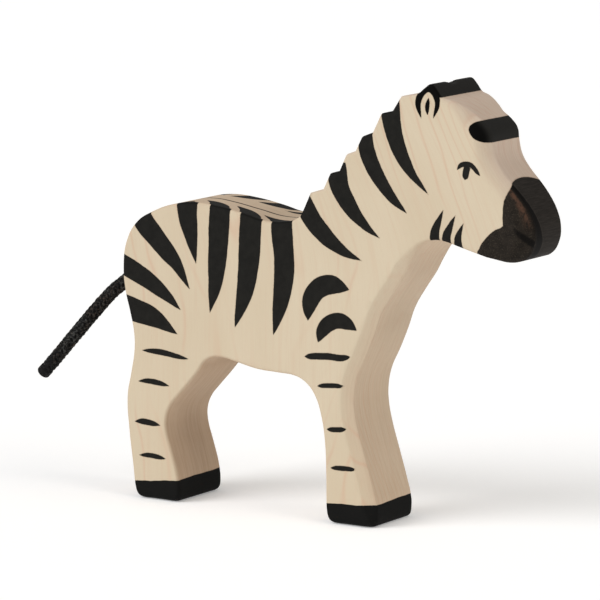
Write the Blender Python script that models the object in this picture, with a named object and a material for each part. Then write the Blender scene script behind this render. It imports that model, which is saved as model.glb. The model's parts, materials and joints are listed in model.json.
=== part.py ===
"""A zebra figurine: its profile is cut from a thick maple board, its edges are eased by hand, and a braided
cord is glued into a hole in the rump for a tail. Metres, +Z up, head towards +X, thickness along Y."""

import math

import bmesh
import bpy
from mathutils import Matrix, Vector
from mathutils.geometry import interpolate_bezier

# Driving dimensions
FIGURE_HEIGHT = 0.131
BOARD_THICKNESS = 0.023
EDGE_EASING = 0.0009
CHEST_CHAMFER_WIDTH = 0.0034
CHEST_CHAMFER_DEPTH = 0.0012
NOSE_ROUNDING = 0.0042
EAR_NOTCH_WIDTH = 0.0062
EAR_NOTCH_DEPTH = 0.0008
TAIL_CORD_DIAMETER = 0.0044
TAIL_HOLE_DEPTH = 0.008
TAIL_CLEARANCE = 0.0003

# The profile is drawn in millimetres for a figure of this height, then scaled to FIGURE_HEIGHT.
DRAWN_HEIGHT = 131.0
DRAWN = FIGURE_HEIGHT / DRAWN_HEIGHT
EAR_TIP_X = 37.6

# How a landmark turns: through it in a smooth curve, in a sharp corner, or round a fillet of that radius.
SMOOTH = None
SHARP = 0.0
MANE_TIP_RADIUS = 1.3
HEEL_RADIUS = 2.2
TOE_RADIUS = 1.8

# How an edge between side and face is worked: width on the face, depth on the side, and the exponent of its
# section, 2 for a round and 1 for a flat chamfer.
PLAIN_EDGE = (EDGE_EASING, EDGE_EASING, 2.0)
CHEST_EDGE = (CHEST_CHAMFER_WIDTH, CHEST_CHAMFER_DEPTH, 1.25)
NOSE_EDGE = (NOSE_ROUNDING, NOSE_ROUNDING, 2.0)
EDGE_STEPS = 3
EDGE_BLEND = 5.0

SAMPLE_SPACING = 1.9
FEWEST_SAMPLES = 3

# The tail's route beside the drawn figure, from where it leaves the rump to its cut end.
TAIL_ROUTE = [
    (-69.5, 68.6),
    (-77.2, 63.0),
    (-82.6, 58.7),
    (-90.2, 50.9),
    (-97.8, 42.8),
    (-104.9, 35.2),
    (-108.2, 31.9),
]
TAIL_POINT_SPACING = 2.0 * TAIL_CORD_DIAMETER

MAPLE = ((0.69, 0.58, 0.41, 1.0), 0.55)
BLACK_CORD = ((0.012, 0.011, 0.011, 1.0), 0.75)


def smooth(*points):
    return [(x, z, SMOOTH) for x, z in points]


def hoof(heel_x, toe_x):
    """The two rounded corners of a flat sole, heel first."""
    return [(heel_x, 0.0, HEEL_RADIUS), (toe_x, 0.0, TOE_RADIUS)]


def saddle_and_rump():
    return [(-6.4, 90.4, SHARP)] + smooth(
        (-8.3, 88.8), (-12.5, 87.7), (-18.5, 87.5), (-27.0, 89.2), (-36.0, 90.6), (-44.5, 91.0),
        (-52.0, 89.8), (-59.0, 87.2), (-64.8, 83.6), (-68.5, 77.6), (-69.7, 70.0), (-69.0, 62.5),
    )


def hind_leg():
    back = smooth(
        (-67.3, 56.0), (-66.0, 50.0), (-65.9, 45.0), (-67.1, 38.0), (-68.5, 31.0), (-67.9, 20.0),
        (-66.5, 9.0),
    )
    front = smooth(
        (-50.3, 8.5), (-52.4, 15.6), (-54.1, 21.1), (-54.3, 25.0), (-52.9, 28.8), (-49.9, 32.4),
        (-46.0, 36.6), (-42.5, 40.7),
    )
    return back + hoof(-65.6, -49.1) + front


def belly():
    return smooth(
        (-40.6, 43.4), (-37.8, 45.1), (-34.5, 45.5), (-29.5, 44.7), (-22.0, 43.3), (-14.0, 42.9),
        (-8.5, 42.5), (-4.6, 40.7), (-1.6, 37.2), (0.5, 31.5), (1.7, 24.5), (2.2, 15.0), (2.3, 7.0),
    )


def chest():
    return smooth(
        (18.8, 6.5), (17.3, 12.0), (14.8, 20.0), (12.3, 28.0), (11.1, 33.5), (10.9, 38.5), (12.0, 44.0),
        (14.9, 50.1), (17.6, 56.3), (20.1, 62.9), (23.7, 68.7), (27.4, 74.0), (30.2, 79.2),
    )


def jaw():
    return smooth(
        (32.4, 82.7), (35.2, 85.3), (38.8, 86.4), (42.5, 86.2), (46.5, 85.2), (52.5, 83.7), (58.5, 82.3),
    )


def muzzle_and_forehead():
    return smooth(
        (63.2, 81.6), (67.0, 82.9), (69.2, 86.3), (69.7, 90.6), (68.5, 95.1), (66.2, 99.1), (63.1, 102.9),
        (59.4, 106.8), (56.8, 110.7), (55.8, 114.6), (55.2, 118.0), (53.2, 120.4), (50.6, 122.3),
        (47.5, 124.7),
    )


def ears_and_crest():
    ears = smooth(
        (44.2, 126.5), (41.3, 127.4), (39.6, 129.4), (EAR_TIP_X, DRAWN_HEIGHT), (35.2, 129.7),
        (33.0, 128.0), (30.6, 127.5),
    )
    return ears + [(27.6, 127.0, MANE_TIP_RADIUS)]


def mane():
    """Five cut steps: each goes into a notch and out along a tread to a rounded tip."""
    tips = [(20.9, 121.6), (14.4, 114.5), (9.1, 109.0), (3.6, 103.1), (-3.2, 96.9)]
    notches = [(24.6, 122.5), (18.0, 115.9), (12.1, 110.1), (6.7, 104.0), (1.2, 98.3)]
    landmarks = []
    for notch, tip in zip(notches, tips):
        landmarks.append((*notch, SHARP))
        landmarks.append((*tip, MANE_TIP_RADIUS))
    return landmarks


def profile_sections():
    """Every stretch of the profile with the edge it has, going round with the material on the left."""
    return [
        (saddle_and_rump(), PLAIN_EDGE),
        (hind_leg(), PLAIN_EDGE),
        (belly(), PLAIN_EDGE),
        (hoof(2.4, 19.3), PLAIN_EDGE),
        (chest(), CHEST_EDGE),
        (jaw(), PLAIN_EDGE),
        (muzzle_and_forehead(), NOSE_EDGE),
        (ears_and_crest(), PLAIN_EDGE),
        (mane(), PLAIN_EDGE),
    ]


def clear_scene():
    for obj in list(bpy.data.objects):
        bpy.data.objects.remove(obj)


def new_collection(name):
    collection = bpy.data.collections.new(name)
    bpy.context.scene.collection.children.link(collection)
    return collection


def new_material(name, color, roughness):
    material = bpy.data.materials.new(name)
    material.use_nodes = True
    shader = material.node_tree.nodes["Principled BSDF"]
    shader.inputs["Base Color"].default_value = color
    shader.inputs["Roughness"].default_value = roughness
    shader.inputs["Metallic"].default_value = 0.0
    return material


def knots_of(sections):
    """(place, kind, edge, corner) for each knot of the spline. A fillet becomes two knots."""
    landmarks = [(Vector((x, z)), turn, edge) for points, edge in sections for x, z, turn in points]
    knots = []
    for i, (place, turn, edge) in enumerate(landmarks):
        if not turn:
            knots.append((place, "corner" if turn == SHARP else "smooth", edge, None))
            continue
        before = (landmarks[i - 1][0] - place).normalized()
        after = (landmarks[(i + 1) % len(landmarks)][0] - place).normalized()
        reach = turn / math.tan(before.angle(after) / 2)
        knots.append((place + reach * before, "into arc", edge, place))
        knots.append((place + reach * after, "out of arc", edge, place))
    return knots


def place_handles(point, kind, corner):
    """AUTO handles on a smooth knot, VECTOR ones at a corner, and one towards the corner beside an arc."""
    kinds = {"smooth": ("AUTO", "AUTO"), "corner": ("VECTOR", "VECTOR")}
    kinds.update({"into arc": ("VECTOR", "FREE"), "out of arc": ("FREE", "VECTOR")})
    point.handle_left_type, point.handle_right_type = kinds[kind]
    arc_handle = 0.55
    if kind == "into arc":
        point.handle_right = point.co + arc_handle * (corner - point.co)
    if kind == "out of arc":
        point.handle_left = point.co + arc_handle * (corner - point.co)


def profile_samples():
    """The profile as (x, z, edge) samples in drawn millimetres, read from one closed Bezier spline."""
    knots = knots_of(profile_sections())
    curve = bpy.data.curves.new("profile_drawing", "CURVE")
    spline = curve.splines.new("BEZIER")
    spline.use_cyclic_u = True
    spline.bezier_points.add(len(knots) - 1)
    for point, (place, kind, edge, corner) in zip(spline.bezier_points, knots):
        point.co = (place.x, place.y, 0.0)
    for point, (place, kind, edge, corner) in zip(spline.bezier_points, knots):
        place_handles(point, kind, Vector((corner.x, corner.y, 0.0)) if corner else None)
    drawing = bpy.data.objects.new("profile_drawing", curve)
    bpy.context.scene.collection.objects.link(drawing)
    bpy.context.view_layer.update()
    samples = []
    for i, point in enumerate(spline.bezier_points):
        after = spline.bezier_points[(i + 1) % len(knots)]
        count = max(FEWEST_SAMPLES, round((after.co - point.co).length / SAMPLE_SPACING))
        stretch = interpolate_bezier(point.co, point.handle_right, after.handle_left, after.co, count + 1)
        samples += [(place.x, place.y, knots[i][2]) for place in stretch[:-1]]
    bpy.data.objects.remove(drawing)
    bpy.data.curves.remove(curve)
    return samples


def centred(samples):
    """The samples in metres, with the middle of the length over the origin and the soles on the ground."""
    middle = (min(x for x, z, edge in samples) + max(x for x, z, edge in samples)) / 2
    ground = min(z for x, z, edge in samples)
    places = [Vector(((x - middle) * DRAWN, (z - ground) * DRAWN)) for x, z, edge in samples]
    return places, middle, ground


def blended_edges(samples, places):
    """Each sample's edge sizes, averaged over EDGE_BLEND each way, so that one kind runs into the next."""
    edges = []
    count = len(samples)
    for i in range(count):
        total = [Vector(samples[i][2]), 1]
        for step in (1, -1):
            gone = 0.0
            j = i
            while gone < EDGE_BLEND * DRAWN:
                k = (j + step) % count
                gone += (places[k] - places[j]).length
                total[0] = total[0] + Vector(samples[k][2])
                total[1] += 1
                j = k
        edges.append(total[0] / total[1])
    return edges


def inward_normals(places):
    normals = []
    for i, place in enumerate(places):
        along = (place - places[i - 1]).normalized() + (places[(i + 1) % len(places)] - place).normalized()
        along.normalize()
        normals.append(Vector((-along.y, along.x)))
    return normals


def ring_of(mesh, places, normals, edges, step, side):
    """One loop of the worked edge: step 0 is on the side of the board, the last step on its face."""
    turn = math.pi / 2 * step / EDGE_STEPS
    verts = []
    for place, normal, (width, depth, exponent) in zip(places, normals, edges):
        inset = width * (1 - math.cos(turn) ** (2 / exponent))
        rise = depth * (1 - math.sin(turn) ** (2 / exponent))
        x, z = place + inset * normal
        verts.append(mesh.verts.new((x, side * (BOARD_THICKNESS / 2 - rise), z)))
    return verts


def worked_board(name, places, edges):
    """The board: loops of both worked edges joined into one skin, with a flat face inside each last loop."""
    mesh = bmesh.new()
    normals = inward_normals(places)
    front = [ring_of(mesh, places, normals, edges, step, -1) for step in range(EDGE_STEPS, -1, -1)]
    back = [ring_of(mesh, places, normals, edges, step, 1) for step in range(EDGE_STEPS + 1)]
    rings = front + back
    count = len(places)
    for first, second in zip(rings, rings[1:]):
        for i in range(count):
            j = (i + 1) % count
            mesh.faces.new((first[i], first[j], second[j], second[i]))
    for ring in (rings[0], rings[-1]):
        edges_round = [mesh.edges.get((ring[i], ring[(i + 1) % count])) for i in range(count)]
        bmesh.ops.triangle_fill(mesh, edges=edges_round, use_beauty=True)
    bmesh.ops.recalc_face_normals(mesh, faces=mesh.faces)
    data = bpy.data.meshes.new(name)
    mesh.to_mesh(data)
    mesh.free()
    return bpy.data.objects.new(name, data)


def cutting_cylinder(name, radius, start, end):
    """A cutter that runs from start to end."""
    axis = end - start
    mesh = bmesh.new()
    sizes = {"radius1": radius, "radius2": radius, "depth": axis.length}
    bmesh.ops.create_cone(mesh, cap_ends=True, segments=32, **sizes)
    turn = axis.to_track_quat("Z", "Y").to_matrix().to_4x4()
    bmesh.ops.transform(mesh, matrix=Matrix.Translation((start + end) / 2) @ turn, verts=mesh.verts)
    data = bpy.data.meshes.new(name)
    mesh.to_mesh(data)
    mesh.free()
    cutter = bpy.data.objects.new(name, data)
    cutter.hide_render = True
    cutter.display_type = "WIRE"
    return cutter


def cut(body, cutter):
    modifier = body.modifiers.new(cutter.name, "BOOLEAN")
    modifier.operation = "DIFFERENCE"
    modifier.solver = "EXACT"
    modifier.object = cutter


def ear_notch_cutter(middle, ground):
    """A wide, shallow hollow that parts the two ears in the middle of the board's thickness."""
    ear_reach = 5.0
    radius = (EAR_NOTCH_WIDTH**2 / 4 + EAR_NOTCH_DEPTH**2) / (2 * EAR_NOTCH_DEPTH)
    height = (DRAWN_HEIGHT - ground) * DRAWN - EAR_NOTCH_DEPTH + radius
    start = Vector(((EAR_TIP_X - ear_reach - middle) * DRAWN, 0.0, height))
    end = Vector(((EAR_TIP_X + ear_reach - middle) * DRAWN, 0.0, height))
    return cutting_cylinder("ear_notch_cutter", radius, start, end)


def smooth_route(points, spacing):
    """Points at an even spacing along a Catmull-Rom curve through the given ones."""
    fine = []
    padded = [2 * points[0] - points[1]] + points + [2 * points[-1] - points[-2]]
    steps = 24
    for a, b, c, d in zip(padded, padded[1:], padded[2:], padded[3:]):
        for i in range(steps):
            t = i / steps
            part = 2 * b + (c - a) * t + (2 * a - 5 * b + 4 * c - d) * t**2 + (3 * b - a - 3 * c + d) * t**3
            fine.append(part / 2)
    fine.append(points[-1])
    lengths = [0.0]
    for first, second in zip(fine, fine[1:]):
        lengths.append(lengths[-1] + (second - first).length)
    count = max(2, round(lengths[-1] / spacing))
    route = []
    for i in range(count + 1):
        wanted = lengths[-1] * i / count
        k = min(range(len(fine)), key=lambda j: abs(lengths[j] - wanted))
        route.append(fine[k])
    return route


def tail_points(middle, ground):
    """The tail's route from the rump, which way the hole runs in, and the route with its glued end first."""
    route = [Vector(((x - middle) * DRAWN, 0.0, (z - ground) * DRAWN)) for x, z in TAIL_ROUTE]
    inward = (route[0] - route[1]).normalized()
    glued_end = route[0] + (TAIL_HOLE_DEPTH - TAIL_CLEARANCE) * inward
    return route, inward, [glued_end] + route


def tail_hole_cutter(exit_point, inward):
    outside = exit_point - TAIL_HOLE_DEPTH * inward
    inside = exit_point + TAIL_HOLE_DEPTH * inward
    radius = TAIL_CORD_DIAMETER / 2 + TAIL_CLEARANCE
    return cutting_cylinder("tail_hole_cutter", radius, outside, inside)


def tail_cord(route):
    points = smooth_route(route, TAIL_POINT_SPACING)
    curve = bpy.data.curves.new("tail_cord", "CURVE")
    curve.dimensions = "3D"
    curve.bevel_depth = TAIL_CORD_DIAMETER / 2
    curve.bevel_resolution = 3
    curve.use_fill_caps = True
    spline = curve.splines.new("POLY")
    spline.points.add(len(points) - 1)
    for target, point in zip(spline.points, points):
        target.co = (*point, 1.0)
    return bpy.data.objects.new("tail_cord", curve)


def main():
    clear_scene()
    zebra = new_collection("zebra_figurine")
    cutters = new_collection("cutters")
    samples = profile_samples()
    places, middle, ground = centred(samples)
    body = worked_board("body", places, blended_edges(samples, places))
    body.data.materials.append(new_material("maple", *MAPLE))
    zebra.objects.link(body)
    route, inward, cord_route = tail_points(middle, ground)
    for cutter in (ear_notch_cutter(middle, ground), tail_hole_cutter(route[0], inward)):
        cutters.objects.link(cutter)
        cut(body, cutter)
    tail = tail_cord(cord_route)
    tail.data.materials.append(new_material("black_cord", *BLACK_CORD))
    zebra.objects.link(tail)


main()
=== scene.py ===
# %% [markdown]
# # A wooden zebra with a braided tail
# The real thing is sawn in profile from a thick maple board. Its edges are eased by hand, its stripes are
# brushed on with matt black paint, and a short braided cord is glued into the rump. The CAD model already
# has the true sizes. This lesson loads it, leaves it alone, and builds the visible pieces over it: the
# cord as a real braid, and the body as a fine skin that can carry crisp paint. Blender works in metres,
# so every size below is written in millimetres times MM.

# %% Load the CAD model
import json
import math

import bmesh
import bpy
import numpy as np
from mathutils import Matrix, Vector, noise
from mathutils.geometry import delaunay_2d_cdt
from mathutils.kdtree import KDTree

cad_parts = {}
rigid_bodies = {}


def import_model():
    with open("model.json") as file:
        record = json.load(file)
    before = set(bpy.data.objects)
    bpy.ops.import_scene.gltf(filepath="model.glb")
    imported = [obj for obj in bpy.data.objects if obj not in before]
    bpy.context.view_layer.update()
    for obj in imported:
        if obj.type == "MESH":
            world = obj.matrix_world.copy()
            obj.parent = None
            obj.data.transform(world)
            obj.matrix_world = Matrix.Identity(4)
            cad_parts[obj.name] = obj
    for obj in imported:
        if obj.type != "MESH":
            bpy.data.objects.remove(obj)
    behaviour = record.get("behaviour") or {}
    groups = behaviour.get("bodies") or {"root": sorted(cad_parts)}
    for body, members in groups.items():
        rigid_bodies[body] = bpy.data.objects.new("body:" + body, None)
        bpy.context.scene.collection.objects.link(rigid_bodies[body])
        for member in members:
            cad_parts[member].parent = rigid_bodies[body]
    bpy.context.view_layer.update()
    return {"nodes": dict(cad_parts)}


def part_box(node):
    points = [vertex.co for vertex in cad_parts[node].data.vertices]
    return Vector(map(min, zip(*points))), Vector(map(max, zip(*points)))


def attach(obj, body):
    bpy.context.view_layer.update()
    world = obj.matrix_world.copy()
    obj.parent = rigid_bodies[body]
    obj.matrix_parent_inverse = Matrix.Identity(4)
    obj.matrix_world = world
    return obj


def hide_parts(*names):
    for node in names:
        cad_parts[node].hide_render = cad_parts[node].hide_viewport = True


for leftover in list(bpy.data.objects):
    bpy.data.objects.remove(leftover)
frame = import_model()
MM = 0.001
body_low, body_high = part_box("body")
half_thickness = body_high[1] / MM
print("body, mm:", [round((high - low) / MM, 1) for low, high in zip(body_low, body_high)])

# %% [markdown]
# ## The camera
# A long lens from far away keeps the sides of the board nearly parallel, as in a catalogue picture. The
# camera could be turned by hand until it looks right, but it is easier to keep it as a few plain facts:
# the point it looks at, the compass angle, the height angle, the distance and the lens. The rotation
# follows from them.

# %% Camera
CAMERA_AZIMUTH = 33.0
CAMERA_LIFT = 9.2
CAMERA_DISTANCE = 1.29247
CAMERA_AIM = Vector((-15.37, 2.11, 62.60)) * MM
CAMERA_LENS = 263.17
SENSOR_WIDTH = 36.0


def camera_turn(azimuth, elevation):
    """The camera's rotation, and the direction that it looks in."""
    turn, lift = math.radians(azimuth), math.radians(elevation)
    right = Vector((math.cos(turn), math.sin(turn), 0.0))
    looking = Vector(
        (-math.sin(turn) * math.cos(lift), math.cos(turn) * math.cos(lift), -math.sin(lift))
    )
    rows = Matrix((right, right.cross(looking), -looking))
    return rows.transposed(), looking


turn, looking = camera_turn(CAMERA_AZIMUTH, CAMERA_LIFT)
camera_data = bpy.data.cameras.new("camera")
camera_data.lens = CAMERA_LENS
camera_data.sensor_width = SENSOR_WIDTH
camera_data.clip_start = 0.05
camera = bpy.data.objects.new("camera", camera_data)
camera.matrix_world = Matrix.Translation(CAMERA_AIM - CAMERA_DISTANCE * looking) @ turn.to_4x4()
bpy.context.scene.collection.objects.link(camera)
bpy.context.scene.camera = camera
print("camera at", [round(value, 3) for value in camera.matrix_world.translation])

# %% [markdown]
# ## The tail: one route, many strands
# A braided cord is a set of strands that wind both ways round one line and pass over and under each
# other. Modelling each strand by hand would never be even. Geometry Nodes does it by rule: it copies the
# route once for each strand and pushes every copy outwards by an angle that grows along the cord. First
# the route itself: where the cord is glued in, where it leaves the rump, and how it droops.

# %% The tail's route
GLUED_DEPTH = 7.7 * MM
CURVE_STEPS = 24
tail_landmarks = [
    (-69.5, 68.6), (-77.2, 63.0), (-82.6, 58.7), (-90.2, 50.9), (-97.8, 42.8), (-104.9, 35.2),
    (-108.2, 31.9),
]


def smooth_line(points, steps):
    """A Catmull-Rom curve through the points, as an array with that many steps to each stretch."""
    points = np.asarray(points, float)
    padded = np.vstack([2 * points[0] - points[1], points, 2 * points[-1] - points[-2]])
    t = (np.arange(steps) / steps)[:, None]
    stretches = []
    for a, b, c, d in zip(padded, padded[1:], padded[2:], padded[3:]):
        square, cube = 2 * a - 5 * b + 4 * c - d, 3 * b - a - 3 * c + d
        stretches.append((2 * b + (c - a) * t + square * t**2 + cube * t**3) / 2)
    return np.vstack(stretches + [points[-1:]])


def evenly(points, spacing, closed=False):
    """The same line with points an even distance apart."""
    line = np.vstack([points, points[:1]]) if closed else points
    gone = np.concatenate([[0.0], np.cumsum(np.linalg.norm(np.diff(line, axis=0), axis=1))])
    count = max(2, round(gone[-1] / spacing))
    places = np.linspace(0.0, gone[-1], count + 1)
    if closed:
        places = places[:-1]
    return np.stack([np.interp(places, gone, column) for column in line.T], axis=1)


tail_exit = Vector((tail_landmarks[0][0], 0.0, tail_landmarks[0][1])) * MM
outward = Vector((tail_landmarks[1][0], 0.0, tail_landmarks[1][1])) * MM - tail_exit
glued_end = tail_exit - GLUED_DEPTH * outward.normalized()
tail_corners = [tuple(glued_end)] + [(x * MM, 0.0, z * MM) for x, z in tail_landmarks]

# %% [markdown]
# ## The braid as a node tree
# Eight strands wind one way and eight the other. With t the way along the cord, strand i stands at the
# angle i/8 of a turn plus t/pitch of a turn, and the other family runs backwards. Each strand goes over
# two and under two, so its distance from the middle swells and sinks on a sine. A few lines of maths
# nodes say this, and it stays true for any length of cord.

# %% Small helpers for node trees
def new_node(tree, kind, settings=None, **inputs):
    """Adds a node. A number or a colour is set on its socket, and a socket is linked to it."""
    node = tree.nodes.new(kind)
    for name, value in (settings or {}).items():
        setattr(node, name, value)
    for name, value in inputs.items():
        key = int(name[1:]) if name[0] == "i" and name[1:].isdigit() else name.replace("_", " ")
        if isinstance(value, bpy.types.NodeSocket):
            tree.links.new(value, node.inputs[key])
        else:
            node.inputs[key].default_value = value
    return node


def maths(tree, operation, first, second=0.0, third=0.0, clamp=False):
    """The result of a Math node."""
    settings = {"operation": operation, "use_clamp": clamp}
    return new_node(tree, "ShaderNodeMath", settings, i0=first, i1=second, i2=third).outputs[0]


def times(tree, first, second):
    """Two values multiplied."""
    return maths(tree, "MULTIPLY", first, second)


def vectors(tree, operation, first, second=(0.0, 0.0, 0.0), scale=None):
    """The result of a Vector Math node: a number for a length or a dot product, and else a vector."""
    node = new_node(tree, "ShaderNodeVectorMath", {"operation": operation}, i0=first, i1=second)
    if isinstance(scale, bpy.types.NodeSocket):
        tree.links.new(scale, node.inputs["Scale"])
    elif scale is not None:
        node.inputs["Scale"].default_value = scale
    return node.outputs["Value" if operation in ("LENGTH", "DOT_PRODUCT") else "Vector"]


def axis_of(tree, place, axis):
    """One number of a place: 0 is the way along the animal, 1 across it, 2 upwards."""
    return new_node(tree, "ShaderNodeSeparateXYZ", Vector=place).outputs[axis]


def blend(tree, factor, first, second, kind="MIX"):
    """Two colours mixed. A factor of 0 gives the first and 1 the second."""
    node = new_node(tree, "ShaderNodeMix", {"data_type": "RGBA", "blend_type": kind})
    for socket, value in ((node.inputs[0], factor), (node.inputs[6], first), (node.inputs[7], second)):
        if isinstance(value, bpy.types.NodeSocket):
            tree.links.new(value, socket)
        else:
            socket.default_value = (*value, 1.0) if isinstance(value, tuple) else value
    return node.outputs[2]


def ramp(tree, value, low, high, out_low=0.0, out_high=1.0):
    """Turns low to high into out_low to out_high, with soft ends, and holds still outside them."""
    settings = {"interpolation_type": "SMOOTHSTEP"}
    sockets = {"i0": value, "i1": low, "i2": high, "i3": out_low, "i4": out_high}
    return new_node(tree, "ShaderNodeMapRange", settings, **sockets).outputs[0]


def cloud(tree, place, scale, detail=2.0, roughness=0.5):
    """Soft noise from 0 to 1, mostly near a half."""
    sockets = {"Vector": place, "Scale": scale, "Detail": detail, "Roughness": roughness}
    return new_node(tree, "ShaderNodeTexNoise", **sockets).outputs[0]


def tree_input(tree, name, kind, value=None):
    """A named input of a node tree. Returns its identifier, by which a modifier sets it."""
    socket = tree.interface.new_socket(name, in_out="INPUT", socket_type=kind)
    if value is not None:
        socket.default_value = value
    return socket.identifier


# %% Sizes of the braid
STRANDS_EACH_WAY = 8
BRAID_SIZES = {
    "Pitch": 14.5 * MM,
    "Middle": 1.44 * MM,
    "Swell": 0.16 * MM,
    "Strand": 0.60 * MM,
    "Seal": 3.4 * MM,
}
UNEVENNESS = 0.17 * MM
TUCKED_SHARE = 0.45
CORE_RADIUS = 1.25 * MM
SEALED_RADIUS = 2.12 * MM
ROUTE_POINTS = 330
STRAND_SIDES = 9
CORE_SIDES = 24
print(2 * STRANDS_EACH_WAY, "strands, one turn in", round(BRAID_SIZES["Pitch"] / MM, 1), "mm")


# %% Where a strand lies
def wound_place(tree, given, along, index, to_end):
    """(angle, radius) of a strand: how far it has wound round the cord, and how far out it lies."""
    second_family = maths(tree, "GREATER_THAN", index, STRANDS_EACH_WAY - 0.5)
    way = maths(tree, "MULTIPLY_ADD", second_family, -2.0, 1.0)
    number = maths(tree, "MODULO", index, STRANDS_EACH_WAY)
    turns = times(tree, maths(tree, "DIVIDE", along, given["Pitch"]), way)
    start = maths(tree, "DIVIDE", number, STRANDS_EACH_WAY)
    angle = times(tree, maths(tree, "ADD", turns, start), 2 * math.pi)
    crossings = maths(tree, "MULTIPLY_ADD", turns, 2.0 * STRANDS_EACH_WAY, 0.5)
    weave = times(tree, maths(tree, "MULTIPLY_ADD", number, 2.0, crossings), math.pi / 2)
    over = times(tree, maths(tree, "SINE", weave), way)
    own_place = new_node(tree, "ShaderNodeCombineXYZ", X=along, Y=index).outputs[0]
    uneven = maths(
        tree, "MULTIPLY_ADD", cloud(tree, own_place, 520.3, 1.0), 2 * UNEVENNESS, -UNEVENNESS
    )
    woven = maths(tree, "MULTIPLY_ADD", over, given["Swell"], given["Middle"])
    wound = maths(tree, "ADD", woven, uneven)
    tucked = times(tree, given["Middle"], TUCKED_SHARE)
    open_part = ramp(tree, to_end, 0.55, 1.25)
    sockets = {"i0": open_part, "i2": tucked, "i3": wound}
    radius = new_node(tree, "ShaderNodeMix", {"data_type": "FLOAT"}, **sockets).outputs[0]
    return angle, radius


# %% Strands and core
def wound_strands(tree, given, route, along, to_end):
    """Tubes along copies of the route, each pushed out to where its strand lies."""
    copies = new_node(
        tree, "GeometryNodeDuplicateElements", {"domain": "SPLINE"}, Geometry=route,
        Amount=2 * STRANDS_EACH_WAY,
    )
    angle, radius = wound_place(tree, given, along, copies.outputs["Duplicate Index"], to_end)
    normal = new_node(tree, "GeometryNodeInputNormal").outputs[0]
    tangent = new_node(tree, "GeometryNodeInputTangent").outputs[0]
    sideways = vectors(tree, "CROSS_PRODUCT", tangent, normal)
    first_way = vectors(tree, "SCALE", normal, scale=times(tree, maths(tree, "COSINE", angle), radius))
    second_way = vectors(tree, "SCALE", sideways, scale=times(tree, maths(tree, "SINE", angle), radius))
    offset = vectors(tree, "ADD", first_way, second_way)
    wound = new_node(tree, "GeometryNodeSetPosition", Geometry=copies.outputs[0], Offset=offset)
    profile = new_node(
        tree, "GeometryNodeCurvePrimitiveCircle", Resolution=STRAND_SIDES, Radius=given["Strand"]
    ).outputs[0]
    return new_node(
        tree, "GeometryNodeCurveToMesh", Curve=wound.outputs[0], Profile_Curve=profile, Fill_Caps=True
    ).outputs[0]


def core_tube(tree, route, to_end):
    """The heart of the cord. It swells to a melted knob at the cut end, and rounds off there."""
    swollen = ramp(tree, to_end, 0.75, 1.25, SEALED_RADIUS, CORE_RADIUS)
    corner = maths(tree, "SUBTRACT", 1.0, times(tree, to_end, 5.0), clamp=True)
    rounded = maths(tree, "MULTIPLY_ADD", maths(tree, "POWER", corner, 2.2), -0.3, 1.0)
    scale = times(tree, swollen, rounded)
    circle = new_node(
        tree, "GeometryNodeCurvePrimitiveCircle", Resolution=CORE_SIDES, Radius=1.0
    ).outputs[0]
    return new_node(
        tree, "GeometryNodeCurveToMesh", Curve=route, Profile_Curve=circle, Scale=scale, Fill_Caps=True
    ).outputs[0]


# %% The braid tree
def braid_tree():
    """(tree, identifiers): the node tree, and the identifier of each input that can be set."""
    tree = bpy.data.node_groups.new("braided_cord", "GeometryNodeTree")
    tree_input(tree, "Route", "NodeSocketGeometry")
    identifiers = {}
    for name, value in BRAID_SIZES.items():
        identifiers[name] = tree_input(tree, name, "NodeSocketFloat", value)
    identifiers["Material"] = tree_input(tree, "Material", "NodeSocketMaterial")
    tree.interface.new_socket("Braid", in_out="OUTPUT", socket_type="NodeSocketGeometry")
    given = new_node(tree, "NodeGroupInput").outputs
    route = new_node(
        tree, "GeometryNodeResampleCurve", Curve=given["Route"], Count=ROUTE_POINTS
    ).outputs[0]
    along = new_node(tree, "GeometryNodeSplineParameter").outputs["Length"]
    length = new_node(tree, "GeometryNodeSplineLength").outputs[0]
    to_end = maths(tree, "DIVIDE", maths(tree, "SUBTRACT", length, along), given["Seal"])
    joined = new_node(tree, "GeometryNodeJoinGeometry")
    tree.links.new(wound_strands(tree, given, route, along, to_end), joined.inputs[0])
    tree.links.new(core_tube(tree, route, to_end), joined.inputs[0])
    smooth = new_node(tree, "GeometryNodeSetShadeSmooth", Geometry=joined.outputs[0]).outputs[0]
    real = new_node(tree, "GeometryNodeRealizeInstances", Geometry=smooth).outputs[0]
    painted = new_node(tree, "GeometryNodeSetMaterial", Geometry=real, Material=given["Material"])
    result = new_node(tree, "NodeGroupOutput")
    tree.links.new(painted.outputs[0], result.inputs[0])
    return tree, identifiers


# %% [markdown]
# ## Black braid
# The real cord is a dull black synthetic. Each strand is a bundle of fine filaments, and small grey and
# brown glints are painted into its colour as painted highlights. Two noises do it: a very fine one is a
# bump, like filaments, and a coarser one says where the painted glints lie, and makes the cord paler and
# smoother there. The cut end was sealed with heat, so it is even and darker.

# %% Cord material
SEALED_FROM_X, SEALED_TO_X = -0.1036, -0.1022
DEEP_BLACK = (0.0012, 0.0011, 0.0010)
SEALED_BLACK = (0.0024, 0.0022, 0.0020)
GLINT_GREY = (0.0420, 0.0420, 0.0390)
GLINT_BROWN = (0.0380, 0.0270, 0.0200)


def new_material(name):
    """A material with nodes, and its shader."""
    material = bpy.data.materials.new(name)
    material.use_nodes = True
    return material, material.node_tree.nodes["Principled BSDF"]


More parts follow.
